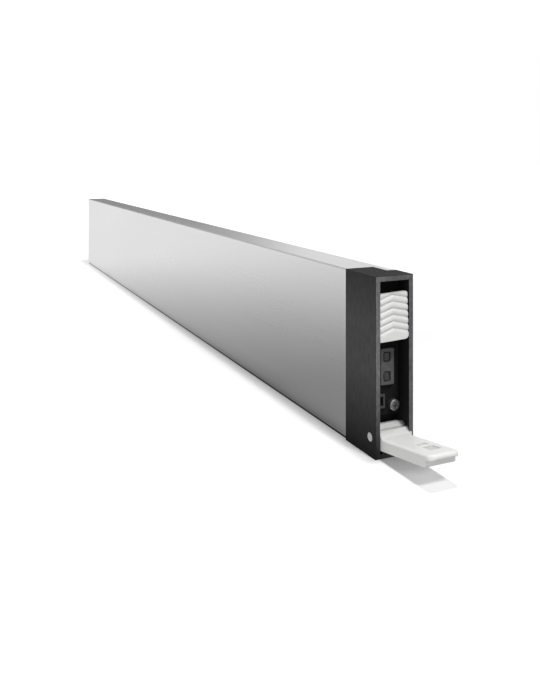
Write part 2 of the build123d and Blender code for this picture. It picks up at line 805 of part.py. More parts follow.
# Controller with its lid, in the rear bay
controller_x = bay_centres[0] - controller_size / 2
with BuildPart() as controller:
    with BuildSketch(side_plane(board_near_y)):
        with Locations((controller_x, middle_z)):
            Rectangle(controller_size, controller_size)
    extrude(amount=controller_base)
    with BuildSketch(side_plane(board_near_y - controller_base)):
        with Locations((controller_x, middle_z)):
            RectangleRounded(
                controller_size - 2 * controller_lid_inset,
                controller_size - 2 * controller_lid_inset,
                controller_lid_corner,
            )
    extrude(amount=controller_height - controller_base)
controller.part.label = "controller"

# Working memory in front of the controller
memory_x = controller_x + controller_size / 2 + memory_length
with BuildPart() as memory_chips:
    with BuildSketch(side_plane(board_near_y)):
        with Locations((memory_x + memory_pitch / 2, middle_z)):
            with GridLocations(memory_pitch, memory_width + memory_gap_z, memory_count // 2, 2):
                Rectangle(memory_length, memory_width)
    extrude(amount=memory_height)
memory_chips.part.label = "memory_chips"

# Power chips and coils behind the controller
power_x = controller_x - controller_size / 2 - power_size
with BuildPart() as power_chips:
    with BuildSketch(side_plane(board_near_y)):
        with Locations((power_x, middle_z)):
            with GridLocations(power_size, 2 * power_size, 1, 2):
                Rectangle(power_size, power_size)
    extrude(amount=power_height)
power_chips.part.label = "power_chips"

with BuildPart() as power_coils:
    with BuildSketch(side_plane(board_near_y)):
        with Locations((power_x - power_size - inductor_size / 2, middle_z)):
            with GridLocations(inductor_size, inductor_size + inductor_gap_z, 1, 3):
                RectangleRounded(inductor_size, inductor_size, inductor_corner)
    extrude(amount=inductor_height)
power_coils.part.label = "power_coils"

# Hold-up capacitors in the front half of the front bay
capacitor_x = bay_centres[-1] + capacitor_pitch_x * 2
with BuildPart() as hold_up_capacitors:
    with BuildSketch(side_plane(board_near_y)):
        with Locations((capacitor_x, middle_z)):
            with GridLocations(capacitor_pitch_x, capacitor_pitch_z, 3, 5):
                Rectangle(capacitor_length, capacitor_width)
    extrude(amount=capacitor_height)
hold_up_capacitors.part.label = "hold_up_capacitors"

# Indicator lights at the board's front edge, one behind each light pipe
led_x = pipe_front_x - pipe_reach - led_gap - led_length / 2
with BuildPart() as status_lights:
    with BuildSketch(side_plane(board_far_y)):
        with Locations(*[(led_x, z) for z in light_heights]):
            Rectangle(led_length, led_width)
    extrude(amount=-led_height)
status_lights.part.label = "status_lights"

# Soft heat pads between the packages and the case
pad_near_y = board_near_y - flash_height
pad_far_y = board_far_y + flash_height
pad_width = 2 * flash_pitch_z
with BuildPart() as heat_pads_near:
    with BuildSketch(side_plane(pad_near_y)):
        with Locations((bay_centres[1], middle_z)):
            Rectangle(flash_pitch_x * flash_columns_per_bay - flash_gap_x, pad_width)
        with Locations((front_block_x, middle_z)):
            Rectangle(flash_pitch_x * front_block_columns - flash_gap_x, pad_width)
    extrude(amount=pad_near_y - tray_near_y)
heat_pads_near.part.label = "heat_pads_near"

with BuildPart() as heat_pads_far:
    with BuildSketch(side_plane(pad_far_y)):
        with Locations(*[(centre, middle_z) for centre in bay_centres]):
            Rectangle(flash_pitch_x * flash_columns_per_bay - flash_gap_x, pad_width)
    extrude(amount=pad_far_y - floor_y)
heat_pads_far.part.label = "heat_pads_far"

lid_y = board_near_y - controller_height
controller_pad_size = controller_size - 2 * (controller_lid_inset + controller_pad_inset)
with BuildPart() as controller_pad:
    with BuildSketch(side_plane(lid_y)):
        with Locations((controller_x, middle_z)):
            Rectangle(controller_pad_size, controller_pad_size)
    extrude(amount=lid_y - tray_near_y)
controller_pad.part.label = "controller_pad"

finished = [
    case_tray.part,
    side_cover.part,
    cover_standoffs.part,
    case_screws.part,
    front_bezel.part,
    bezel_screw.part,
    latch_lever.part,
    hinge_pin.part,
    lever_spring.part,
    askew_slider,
    service_socket.part,
    light_pipe_holder.part,
    *light_pipes.values(),
    circuit_board.part,
    edge_contacts.part,
    flash_near.part,
    flash_far.part,
    controller.part,
    memory_chips.part,
    power_chips.part,
    power_coils.part,
    hold_up_capacitors.part,
    status_lights.part,
    heat_pads_near.part,
    heat_pads_far.part,
    controller_pad.part,
]
for piece in finished:
    export_step(piece, f"parts/{piece.label}.step")
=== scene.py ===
"""A slim drive module on one long edge, its latch lever open: finishes and light."""

import bpy
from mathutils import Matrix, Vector


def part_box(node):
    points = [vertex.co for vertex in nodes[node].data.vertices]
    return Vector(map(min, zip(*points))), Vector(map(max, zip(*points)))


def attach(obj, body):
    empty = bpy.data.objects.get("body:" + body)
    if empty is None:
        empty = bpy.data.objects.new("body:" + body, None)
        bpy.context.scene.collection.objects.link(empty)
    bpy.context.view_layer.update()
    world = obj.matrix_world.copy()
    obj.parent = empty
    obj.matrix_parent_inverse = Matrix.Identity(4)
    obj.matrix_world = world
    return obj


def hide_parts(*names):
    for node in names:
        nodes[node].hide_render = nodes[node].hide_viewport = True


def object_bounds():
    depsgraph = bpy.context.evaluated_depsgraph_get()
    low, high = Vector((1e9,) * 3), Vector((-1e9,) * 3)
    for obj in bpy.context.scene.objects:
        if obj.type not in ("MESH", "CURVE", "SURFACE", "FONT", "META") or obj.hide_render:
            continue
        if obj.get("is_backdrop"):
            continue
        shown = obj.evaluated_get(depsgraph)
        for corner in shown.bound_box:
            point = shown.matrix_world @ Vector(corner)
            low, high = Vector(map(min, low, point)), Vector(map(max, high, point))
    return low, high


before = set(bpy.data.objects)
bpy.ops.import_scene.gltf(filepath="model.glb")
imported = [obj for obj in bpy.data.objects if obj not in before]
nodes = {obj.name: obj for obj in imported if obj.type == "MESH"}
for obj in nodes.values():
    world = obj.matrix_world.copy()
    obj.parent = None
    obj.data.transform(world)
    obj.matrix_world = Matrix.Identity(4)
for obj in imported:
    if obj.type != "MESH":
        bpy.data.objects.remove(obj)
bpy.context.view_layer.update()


# Case: a tray and a flat cover pressed from aluminium sheet, ground along their length and anodised
# a satin grey. The cover closes the tray's open side and ends short of its lower edge, where the
# tray's strip below it is darkened with painted shade. The tray carries the bezel.
METAL_GREY = (0.8, 0.8, 0.805)
METAL_ROUGHNESS = 0.3
METALNESS = 0.95
GROUND_GRAIN = (25.0, 5200.0, 5200.0)
GROUND_ROUGHNESS = (-0.02, 0.02)
GROUND_TONES = (0.98, 1.02)
GROUND_DEPTH = 0.0000008
ANODISED_CLOUD = (14.0, 60.0, 60.0)
CLOUD_ROUGHNESS = (0.28, 0.32)
CLOUD_TONES = (0.99, 1.01)
GAP_SHADE_TONE = 0.15
GAP_SHADE_EDGE = 0.00006


def add_node(tree, kind, inputs=None, **settings):
    """Adds a node to a tree, with its settings, and with each input linked or set."""
    made = tree.nodes.new(kind)
    for name, value in settings.items():
        setattr(made, name, value)
    for name, value in (inputs or {}).items():
        if isinstance(value, bpy.types.NodeSocket):
            tree.links.new(value, made.inputs[name])
        else:
            made.inputs[name].default_value = value
    return made


def start_material(name, colour, roughness, metallic=0.0):
    """A material whose shader has a plain colour, roughness and metalness."""
    material = bpy.data.materials.new(name)
    material.use_nodes = True
    shader = material.node_tree.nodes["Principled BSDF"]
    shader.inputs["Base Color"].default_value = (*colour, 1)
    shader.inputs["Roughness"].default_value = roughness
    shader.inputs["Metallic"].default_value = metallic
    return material, material.node_tree, shader


def own_place(tree):
    """The piece's own coordinates, as a vector."""
    return tree.nodes.new("ShaderNodeTexCoord").outputs["Object"]


def split(tree, value):
    """The three parts of a vector."""
    return add_node(tree, "ShaderNodeSeparateXYZ", {0: value}).outputs


def grain(tree, stretch, detail=2.0):
    """Noise on the piece's own coordinates, stretched by so many grains a metre along each axis."""
    mapped = add_node(tree, "ShaderNodeMapping", {"Vector": own_place(tree), "Scale": stretch})
    made = add_node(
        tree, "ShaderNodeTexNoise",
        {"Vector": mapped.outputs["Vector"], "Scale": 1.0, "Detail": detail},
    )
    return made.outputs["Fac"]


def spread(tree, value, low, high, start=0.3, end=0.7):
    """Turns a value's range from start to end into values from low to high."""
    ranged = add_node(
        tree, "ShaderNodeMapRange",
        {"Value": value, "From Min": start, "From Max": end, "To Min": low, "To Max": high},
    )
    return ranged.outputs["Result"]


def combine(tree, how, first, second=0.0):
    """Does sums with one value or two."""
    return add_node(tree, "ShaderNodeMath", {0: first, 1: second}, operation=how).outputs[0]


def shade(tree, shader, colour, value):
    """Sets a shader's colour to a colour times a value."""
    mixed = add_node(tree, "ShaderNodeVectorMath", {0: colour, "Scale": value}, operation="SCALE")
    tree.links.new(mixed.outputs["Vector"], shader.inputs["Base Color"])


def roughen(tree, shader, value):
    """Sets a shader's roughness by a value."""
    tree.links.new(value, shader.inputs["Roughness"])


def raise_surface(tree, shader, value, depth):
    """Raises a surface by so many metres where the value is 1."""
    raised = add_node(tree, "ShaderNodeBump", {"Height": value, "Distance": depth, "Strength": 1.0})
    tree.links.new(raised.outputs["Normal"], shader.inputs["Normal"])


def finish(material, *names):
    """Gives CAD nodes a material."""
    for name in names:
        for slot in nodes[name].material_slots:
            slot.material = material


case_metal, tree, shader = start_material("satin_aluminium", METAL_GREY, METAL_ROUGHNESS, METALNESS)
ground = grain(tree, GROUND_GRAIN)
clouded = grain(tree, ANODISED_CLOUD)
uneven = spread(tree, ground, *GROUND_ROUGHNESS)
roughen(tree, shader, combine(tree, "ADD", uneven, spread(tree, clouded, *CLOUD_ROUGHNESS)))
low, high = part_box("side_cover")
place = split(tree, own_place(tree))
# Painted shade: the tray's strip below the cover's lower edge is darkened as the shade of the gap.
line = combine(
    tree, "MAXIMUM", spread(tree, place["Z"], GAP_SHADE_TONE, 1.0, low[2] - GAP_SHADE_EDGE, low[2]),
    spread(tree, place["Y"], 0.0, 1.0, high[1] + GAP_SHADE_EDGE, high[1] + 2 * GAP_SHADE_EDGE),
)
tone = combine(
    tree, "MULTIPLY", spread(tree, ground, *GROUND_TONES), spread(tree, clouded, *CLOUD_TONES),
)
shade(tree, shader, METAL_GREY, combine(tree, "MULTIPLY", tone, line))
raise_surface(tree, shader, ground, GROUND_DEPTH)
finish(case_metal, "case_tray", "side_cover")

# Case screws: eight countersunk steel screws with cross recesses, through the tray and board into
# the cover's standoffs. They are turned, and then plated with zinc.
ZINC = (0.62, 0.63, 0.64)
SCREW_COLUMNS = 4
SCREW_ROWS = 2
SCREW_HEAD_RADIUS = 0.0015
SCREW_SHANK_RADIUS = 0.0008
SCREW_CONE = 0.00081
RECESS_LENGTH = 0.0015
RECESS_SLOT = 0.00036
RECESS_DEPTH = 0.0005
HEAD_SIDES = 40
SHANK_SIDES = 24
QUARTER_TURN = 1.5708


def grained(
    name, colour, roughness, metallic=0.0, *,
    fine, detail=2.0, coarse=None, tones, rough=None, depth=None,
):
    """A material with a fine grain in its surface, and that grain or a coarser one in its tone."""
    material, tree, shader = start_material(name, colour, roughness, metallic)
    fine_grain = grain(tree, fine, detail)
    tone_grain = grain(tree, coarse) if coarse else fine_grain
    shade(tree, shader, colour, spread(tree, tone_grain, *tones))
    if rough:
        roughen(tree, shader, spread(tree, fine_grain, *rough))
    if depth:
        raise_surface(tree, shader, fine_grain, depth)
    return material


steel = grained(
    "zinc_plated_steel", ZINC, 0.3, 1.0, fine=(2600.0,) * 3, rough=(0.22, 0.4), depth=0.000003,
    coarse=(700.0,) * 3, tones=(0.85, 1.08),
)
finish(steel, "cover_standoffs", "case_screws")


def start_shape(name, sizes):
    """A geometry tree with named sizes, its input node, and the identifiers of its sizes."""
    tree = bpy.data.node_groups.new(name, "GeometryNodeTree")
    tree.interface.new_socket("Geometry", in_out="OUTPUT", socket_type="NodeSocketGeometry")
    identifiers = {}
    for size in sizes:
        kind = "NodeSocketInt" if isinstance(sizes[size], int) else "NodeSocketFloat"
        socket = tree.interface.new_socket(size, in_out="INPUT", socket_type=kind)
        identifiers[size] = socket.identifier
    return tree, tree.nodes.new("NodeGroupInput").outputs, identifiers


def vector(tree, x, y, z):
    """A vector from three numbers or sockets."""
    return add_node(tree, "ShaderNodeCombineXYZ", {"X": x, "Y": y, "Z": z}).outputs[0]


def moved(tree, mesh, place, turn=(0.0, 0.0, 0.0)):
    """Moves and turns a mesh."""
    made = add_node(
        tree, "GeometryNodeTransform", {"Geometry": mesh, "Translation": place, "Rotation": turn},
    )
    return made.outputs["Geometry"]


def joined(tree, *meshes):
    """Puts meshes together."""
    made = tree.nodes.new("GeometryNodeJoinGeometry")
    for mesh in meshes:
        tree.links.new(mesh, made.inputs[0])
    return made.outputs[0]


def make_mesh(name, tree, shape, material, sizes, identifiers):
    """Ends a geometry tree, runs it with its sizes, and keeps the result as a plain mesh."""
    whole = add_node(tree, "GeometryNodeRealizeInstances", {"Geometry": shape})
    coated = add_node(
        tree, "GeometryNodeSetMaterial", {"Geometry": whole.outputs[0], "Material": material},
    )
    tree.links.new(coated.outputs[0], tree.nodes.new("NodeGroupOutput").inputs[0])
    made = bpy.data.objects.new(name, bpy.data.meshes.new(name))
    bpy.context.scene.collection.objects.link(made)
    modifier = made.modifiers.new("shape", "NODES")
    modifier.node_group = tree
    for size, value in sizes.items():
        modifier[identifiers[size]] = value
    graph = bpy.context.evaluated_depsgraph_get()
    finished = bpy.data.meshes.new_from_object(made.evaluated_get(graph))
    finished.materials.clear()
    finished.materials.append(material)
    made.modifiers.clear()
    made.data = finished
    return made


low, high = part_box("case_screws")
screw_sizes = {
    "Head radius": SCREW_HEAD_RADIUS, "Shank radius": SCREW_SHANK_RADIUS, "Cone": SCREW_CONE,
    "Length": high[1] - low[1], "Columns": SCREW_COLUMNS, "Rows": SCREW_ROWS,
    "Column span": high[0] - low[0] - 2 * SCREW_HEAD_RADIUS,
    "Row span": high[2] - low[2] - 2 * SCREW_HEAD_RADIUS,
    "Recess": RECESS_LENGTH, "Recess slot": RECESS_SLOT, "Recess depth": RECESS_DEPTH,
}
tree, size, identifiers = start_shape("countersunk_screws", screw_sizes)
cone = add_node(
    tree, "GeometryNodeMeshCone",
    {"Vertices": HEAD_SIDES, "Radius Top": size["Head radius"], "Radius Bottom": size["Shank radius"],
     "Depth": size["Cone"]},
)
head_middle = vector(tree, 0.0, 0.0, combine(tree, "MULTIPLY", size["Cone"], -1.0))
head = moved(tree, cone.outputs["Mesh"], head_middle)
wing_size = vector(tree, size["Recess"], size["Recess slot"], size["Recess depth"])
wing = add_node(tree, "GeometryNodeMeshCube", {"Size": wing_size})
wings = [
    moved(tree, wing.outputs["Mesh"], (0.0, 0.0, 0.0), (0.0, 0.0, turn)) for turn in (0.0, QUARTER_TURN)
]
cut = add_node(tree, "GeometryNodeMeshBoolean", {"Mesh 1": head}, operation="DIFFERENCE")
for mesh in wings:
    tree.links.new(mesh, cut.inputs["Mesh 2"])
shank_length = combine(tree, "SUBTRACT", size["Length"], size["Cone"])
shank = add_node(
    tree, "GeometryNodeMeshCylinder",
    {"Vertices": SHANK_SIDES, "Radius": size["Shank radius"], "Depth": shank_length},
)
shank_depth = combine(tree, "MULTIPLY", combine(tree, "ADD", size["Length"], size["Cone"]), -0.5)
seated_shank = moved(tree, shank.outputs["Mesh"], vector(tree, 0.0, 0.0, shank_depth))
screw = joined(tree, cut.outputs[0], seated_shank)
places = add_node(
    tree, "GeometryNodeMeshGrid",
    {"Size X": size["Column span"], "Size Y": size["Row span"], "Vertices X": size["Columns"],
     "Vertices Y": size["Rows"]},
)
screws = add_node(
    tree, "GeometryNodeInstanceOnPoints", {"Points": places.outputs["Mesh"], "Instance": screw},
)
middle = ((low[0] + high[0]) / 2, high[1], (low[2] + high[2]) / 2)
stood = moved(tree, screws.outputs[0], middle, (-QUARTER_TURN, 0.0, 0.0))
case_screw_set = make_mesh("countersunk_screws", tree, stood, steel, screw_sizes, identifiers)
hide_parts("case_screws")
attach(case_screw_set, "module")

# Circuit board: green solder mask over glass cloth, with its card edge out of the tray's rear wall.
# The board is clamped between the tray's posts and the cover's standoffs.
MASK_GREEN = (0.015, 0.12, 0.05)
board_mask = grained(
    "green_mask", MASK_GREEN, 0.3, fine=(1800.0,) * 3, rough=(0.24, 0.36), depth=0.00001,
    coarse=(160.0,) * 3, tones=(0.75, 1.25),
)
finish(board_mask, "circuit_board")

# Edge contacts: two rows of gold-plated pads on each face of the card edge, either side of the key.
# They are plated on the board, thin enough to slide in a connector.
GOLD = (0.86, 0.62, 0.24)
CONTACTS_BELOW_KEY = 12
CONTACTS_ABOVE_KEY = 16
CONTACT_PITCH = 0.0006
CONTACT_WIDTH = 0.00036
CONTACT_THICKNESS = 0.00005
CORNER_SHARE = 0.6
CORNER_POINTS = 3
HALF_TURN = 3.1416
gold = grained(
    "plated_gold", GOLD, 0.25, 1.0, fine=(300.0, 9000.0, 9000.0), rough=(0.18, 0.34), depth=0.000001,
    tones=(0.85, 1.05),
)
low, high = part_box("edge_contacts")
contact_sizes = {
    "Pitch": CONTACT_PITCH, "Width": CONTACT_WIDTH, "Length": high[0] - low[0],
    "Thickness": CONTACT_THICKNESS, "Below key": CONTACTS_BELOW_KEY, "Above key": CONTACTS_ABOVE_KEY,
    "Corner": CONTACT_WIDTH / 2,
}
tree, size, identifiers = start_shape("plated_contacts", contact_sizes)
outline = add_node(
    tree, "GeometryNodeCurvePrimitiveQuadrilateral", {"Width": size["Length"], "Height": size["Width"]},
)
corner = combine(tree, "MULTIPLY", size["Corner"], CORNER_SHARE)
rounded = add_node(
    tree, "GeometryNodeFilletCurve",
    {"Curve": outline.outputs[0], "Radius": corner, "Count": CORNER_POINTS}, mode="POLY",
)
face = add_node(tree, "GeometryNodeFillCurve", {"Curve": rounded.outputs[0]}, mode="NGONS")
raised = add_node(
    tree, "GeometryNodeExtrudeMesh",
    {"Mesh": face.outputs[0], "Offset Scale": size["Thickness"], "Individual": False},
)
back = add_node(tree, "GeometryNodeFlipFaces", {"Mesh": face.outputs[0]})
contact = joined(tree, raised.outputs["Mesh"], back.outputs[0])
rows = []
for name, start, direction in (
    ("Below key", low[2] + CONTACT_WIDTH / 2, CONTACT_PITCH),
    ("Above key", high[2] - CONTACT_WIDTH / 2, -CONTACT_PITCH),
):
    line = add_node(
        tree, "GeometryNodeMeshLine",
        {"Count": size[name], "Start Location": (0.0, start, 0.0), "Offset": (0.0, direction, 0.0)},
        mode="OFFSET", count_mode="TOTAL",
    )
    row = add_node(
        tree, "GeometryNodeInstanceOnPoints", {"Points": line.outputs[0], "Instance": contact},
    )
    rows.append(row.outputs[0])
one_face = joined(tree, *rows)
middle_x = (low[0] + high[0]) / 2
near_face = moved(
    tree, one_face, (middle_x, low[1] + CONTACT_THICKNESS, 0.0), (QUARTER_TURN, 0.0, 0.0),
)
far_row = moved(tree, one_face, (0.0, 0.0, 0.0), (0.0, 0.0, HALF_TURN))
far_face = moved(
    tree, far_row, (middle_x, high[1] - CONTACT_THICKNESS, 0.0), (-QUARTER_TURN, 0.0, 0.0),
)
contact_set = make_mesh(
    "plated_contacts", tree, joined(tree, near_face, far_face), gold, contact_sizes, identifiers,
)
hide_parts("edge_contacts")
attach(contact_set, "module")

# Packages: memory and power chips are moulded in black epoxy with a fine blasted grain, the
# controller shows its nickelled lid, and the coils are pressed ferrite. All are soldered flat on the
# board.
EPOXY_BLACK = (0.02, 0.02, 0.021)
LID_GREY = (0.6, 0.6, 0.62)
FERRITE_GREY = (0.09, 0.09, 0.1)
epoxy = grained(
    "moulded_epoxy", EPOXY_BLACK, 0.5, fine=(6000.0,) * 3, rough=(0.42, 0.62), depth=0.000008,
    coarse=(220.0,) * 3, tones=(0.8, 1.3),
)
finish(epoxy, "flash_near", "flash_far", "memory_chips", "power_chips")
lid_metal = grained(
    "nickelled_lid", LID_GREY, 0.35, 1.0, fine=(60.0, 4000.0, 4000.0), rough=(0.3, 0.42),
    tones=(0.94, 1.04),
)
finish(lid_metal, "controller")
ferrite = grained(
    "pressed_ferrite", FERRITE_GREY, 0.7, fine=(3500.0,) * 3, detail=4.0, depth=0.00002,
    tones=(0.7, 1.35),
)
finish(ferrite, "power_coils")

# Hold-up capacitors and status lights: small moulded bodies, amber polymer and clear epoxy, in front
# on the board. They are soldered at their ends.
AMBER = (0.7, 0.42, 0.08)
LAMP_CLEAR = (0.8, 0.8, 0.68)
amber_body = grained(
    "amber_polymer", AMBER, 0.4, fine=(5000.0,) * 3, depth=0.000006, coarse=(900.0,) * 3,
    tones=(0.85, 1.15),
)
finish(amber_body, "hold_up_capacitors")
lamp_body = grained("clear_epoxy", LAMP_CLEAR, 0.18, fine=(1500.0,) * 3, tones=(0.9, 1.05))
finish(lamp_body, "status_lights")

# Heat pads: soft blue-grey silicone filled with ceramic, cut from sheet. They are pressed between the
# packages and the case and stick by themselves.
PAD_BLUE = (0.3, 0.42, 0.58)
silicone = grained(
    "filled_silicone", PAD_BLUE, 0.8, fine=(2400.0,) * 3, detail=5.0, depth=0.00003,
    tones=(0.8, 1.2),
)
finish(silicone, "heat_pads_near", "heat_pads_far", "controller_pad")

# Bezel: a cap moulded in black plastic, with the fine grain of a spark-eroded mould on its outside.
# As photographed, painted shade darkens its sides downwards and near their top, its top more and its
# hollow most, and painted light makes its front rim greyer, most of all high on the near side. A
# screw and the tray's lap hold it.
BEZEL_TINT = (1.0, 1.0, 1.02)
BEZEL_SHEEN = 0.06
BEZEL_ROUGHNESS = (0.7, 0.88)
MOULD_GRAIN = (4200.0, 4200.0, 4200.0)
MOULD_DEPTH = 0.000025
STREAKED_GRAIN = (1900.0, 1900.0, 420.0)
RIM_MOTTLE_GRAIN = (2600.0, 1400.0, 1400.0)
CAVITY_SHADE_TONE = 0.014
SIDE_TONE = 0.062
TOP_SHADE_TONE = 0.022
RIM_HIGHLIGHT_TONE = 0.105
OUTER_SKIN = 0.00004
LOW_EDGE = 0.001
PALEST_FROM = 0.018
PALEST_TO_SHARE = 0.75
LOW_SHARE = 0.06
HIGH_SHARE = 0.5
NEAR_RIM_SHARES = (0.0, 1.6)
RIM_MOTTLE_SHARES = (0.8, 1.15)
STREAK_TONES = (0.86, 1.16)
low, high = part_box("front_bezel")
bezel_plastic, tree, shader = start_material("grained_black_plastic", BEZEL_TINT, BEZEL_ROUGHNESS[0])
shader.inputs["Specular IOR Level"].default_value = BEZEL_SHEEN
place = split(tree, own_place(tree))
sparked = grain(tree, MOULD_GRAIN, detail=3.0)
streaked = grain(tree, STREAKED_GRAIN, detail=4.0)
rim_mottle = grain(tree, RIM_MOTTLE_GRAIN)
beside = combine(tree, "ABSOLUTE", place["Y"])
# Painted shade: the sides darken towards the bottom and again towards the top.
pale = combine(
    tree, "MULTIPLY", spread(tree, place["Z"], LOW_SHARE, 1.0, LOW_EDGE, PALEST_FROM),
    spread(tree, place["Z"], 1.0, HIGH_SHARE, PALEST_TO_SHARE * high[2], high[2]),
)
side = combine(
    tree, "MULTIPLY", spread(tree, beside, 0.0, SIDE_TONE, high[1] - OUTER_SKIN, high[1]), pale,
)
# Painted shade: the top gets a darker tone than the sides.
outside = combine(
    tree, "MAXIMUM", side, spread(tree, place["Z"], 0.0, TOP_SHADE_TONE, high[2] - OUTER_SKIN, high[2]),
)
# Painted light: the front rim is lighter, on the near side most of all high up.
near_rim = spread(tree, place["Z"], *NEAR_RIM_SHARES, LOW_EDGE, PALEST_FROM)
near = spread(tree, place["Y"], 1.0, 0.0, low[1], 0.0)
rim_share = combine(
    tree, "ADD", combine(tree, "MULTIPLY", near_rim, near), combine(tree, "SUBTRACT", 1.0, near),
)
rim = combine(
    tree, "MULTIPLY", spread(tree, place["X"], 0.0, RIM_HIGHLIGHT_TONE, high[0] - OUTER_SKIN, high[0]),
    combine(tree, "MULTIPLY", rim_share, spread(tree, rim_mottle, *RIM_MOTTLE_SHARES)),
)
# Painted shade: all but the outer skin, the hollow inside most of all, keeps only the cavity tone.
tone = combine(tree, "ADD", combine(tree, "MAXIMUM", outside, rim), CAVITY_SHADE_TONE)
tone = combine(tree, "MULTIPLY", tone, spread(tree, streaked, *STREAK_TONES))
shade(tree, shader, BEZEL_TINT, tone)
roughen(tree, shader, spread(tree, sparked, *BEZEL_ROUGHNESS))
raise_surface(tree, shader, sparked, MOULD_DEPTH)
finish(bezel_plastic, "front_bezel")

# Bezel screw: a pan head with a cross recess, formed cold and plated a dull zinc. It is driven
# through the web's foot into the tray.
DULL_ZINC = (0.42, 0.42, 0.42)
dull_steel = grained(
    "dull_zinc", DULL_ZINC, 0.45, 1.0, fine=(3200.0,) * 3, detail=3.0, rough=(0.38, 0.55),
    depth=0.000006, tones=(0.8, 1.15),
)
finish(dull_steel, "bezel_screw")

# Holder and service socket: matt dark grey plastic, moulded, the socket the darker of the two. Both
# are pressed in the bezel's web.
HOLDER_GREY = (0.11, 0.11, 0.111)
SOCKET_GREY = (0.06, 0.06, 0.061)
holder_plastic = grained(
    "matt_grey_plastic", HOLDER_GREY, 0.55, fine=(3800.0,) * 3, detail=3.0, rough=(0.48, 0.62),
    depth=0.00001, coarse=(900.0,) * 3, tones=(0.85, 1.15),
)
finish(holder_plastic, "light_pipe_holder")
socket_plastic = grained(
    "dark_grey_plastic", SOCKET_GREY, 0.5, fine=(3800.0,) * 3, detail=3.0, depth=0.00001,
    coarse=(1200.0,) * 3, tones=(0.85, 1.15),
)
finish(socket_plastic, "service_socket")

# Light pipes: smoked clear plastic rods from the board's lights to the holder's face, polished by
# their mould, dark while the lights are off.
SMOKE = (0.055, 0.055, 0.056)
GLAZE = 0.4
GLAZE_ROUGHNESS = 0.08
pipe_plastic = grained(
    "smoked_clear_plastic", SMOKE, 0.2, fine=(900.0,) * 3, rough=(0.14, 0.28), tones=(0.85, 1.2),
)
shader = pipe_plastic.node_tree.nodes["Principled BSDF"]
shader.inputs["Coat Weight"].default_value = GLAZE
shader.inputs["Coat Roughness"].default_value = GLAZE_ROUGHNESS
finish(pipe_plastic, "lower_light_pipe", "upper_light_pipe")

# Hinge pin and lever spring: ground bright steel pin pressed in the bezel's walls, and a torsion
# spring of drawn wire round it that opens the lever.
GROUND_STEEL = (0.75, 0.75, 0.74)
ground_steel = grained(
    "ground_steel", GROUND_STEEL, 0.3, 0.4, fine=(3000.0, 600.0, 3000.0), rough=(0.26, 0.42),
    depth=0.000002, tones=(0.9, 1.05),
)
finish(ground_steel, "hinge_pin", "lever_spring")

# Lever and slider: white plastic, moulded smooth, slightly translucent at its edges. The lever turns
# on the pin; the slider's rails run in the bezel's walls. The plate's recess has a thin floor, through
# which the lights show when the lever is closed; recess and floor are greyed with painted shade.
WHITE = (0.8, 0.8, 0.79)
WHITE_ROUGHNESS = (0.36, 0.46)
WHITE_TONES = (0.985, 1.01)
HANDLED_GRAIN = (420.0, 420.0, 420.0)
POLISHED_GRAIN = (3000.0, 3000.0, 3000.0)
POLISHED_DEPTH = 0.000003
TRANSLUCENCY = 0.35
LIGHT_REACH = 0.0006
WINDOW_SHADE_TONE = 0.76
PIN = (0.15425, 0.0, 0.0041)
OPEN_ANGLE = 0.14835
RECESS_MIDDLE = (0.01325, 0.0004, 0.0)
RECESS_HALF = (0.00295, 0.00136)
RECESS_EDGE = 0.00012
SKIN_TOP = -0.00025
SKIN_BOTTOM = -0.0006


def white_moulding(name):
    """White plastic with a polished mould's faint unevenness, and the value that tints it."""
    material, tree, shader = start_material(name, WHITE, WHITE_ROUGHNESS[0])
    shader.inputs["Subsurface Weight"].default_value = TRANSLUCENCY
    shader.inputs["Subsurface Radius"].default_value = (1.0, 1.0, 0.95)
    shader.inputs["Subsurface Scale"].default_value = LIGHT_REACH
    handled = grain(tree, HANDLED_GRAIN, detail=3.0)
    roughen(tree, shader, spread(tree, handled, *WHITE_ROUGHNESS))
    raise_surface(tree, shader, grain(tree, POLISHED_GRAIN), POLISHED_DEPTH)
    return material, tree, shader, spread(tree, handled, *WHITE_TONES)


slider_plastic, tree, shader, tint = white_moulding("satin_white_plastic")
shade(tree, shader, WHITE, tint)
finish(slider_plastic, "release_slider")
lever_plastic, tree, shader, tint = white_moulding("windowed_white_plastic")
from_pin = add_node(
    tree, "ShaderNodeVectorMath", {0: own_place(tree), 1: PIN}, operation="SUBTRACT",
)
levelled = add_node(
    tree, "ShaderNodeVectorRotate", {"Vector": from_pin.outputs["Vector"], "Angle": OPEN_ANGLE},
    rotation_type="Y_AXIS",
)
from_recess = add_node(
    tree, "ShaderNodeVectorMath", {0: levelled.outputs["Vector"], 1: RECESS_MIDDLE},
    operation="SUBTRACT",
)
offset = split(tree, from_recess.outputs["Vector"])
# Painted shade: the recess and its thin floor are greyed, as the shade seen through them.
window = combine(
    tree, "MULTIPLY", spread(tree, offset["Z"], 0.0, 1.0, SKIN_BOTTOM, SKIN_BOTTOM + RECESS_EDGE),
    spread(tree, offset["Z"], 1.0, 0.0, SKIN_TOP, SKIN_TOP + RECESS_EDGE),
)
for axis, half in zip("XY", RECESS_HALF):
    beside = combine(tree, "ABSOLUTE", offset[axis])
    within = spread(tree, beside, 1.0, 0.0, half, half + RECESS_EDGE)
    window = combine(tree, "MULTIPLY", window, within)
window_shade = spread(tree, window, 1.0, WINDOW_SHADE_TONE, 0.0, 1.0)
shade(tree, shader, WHITE, combine(tree, "MULTIPLY", tint, window_shade))
finish(lever_plastic, "latch_lever")

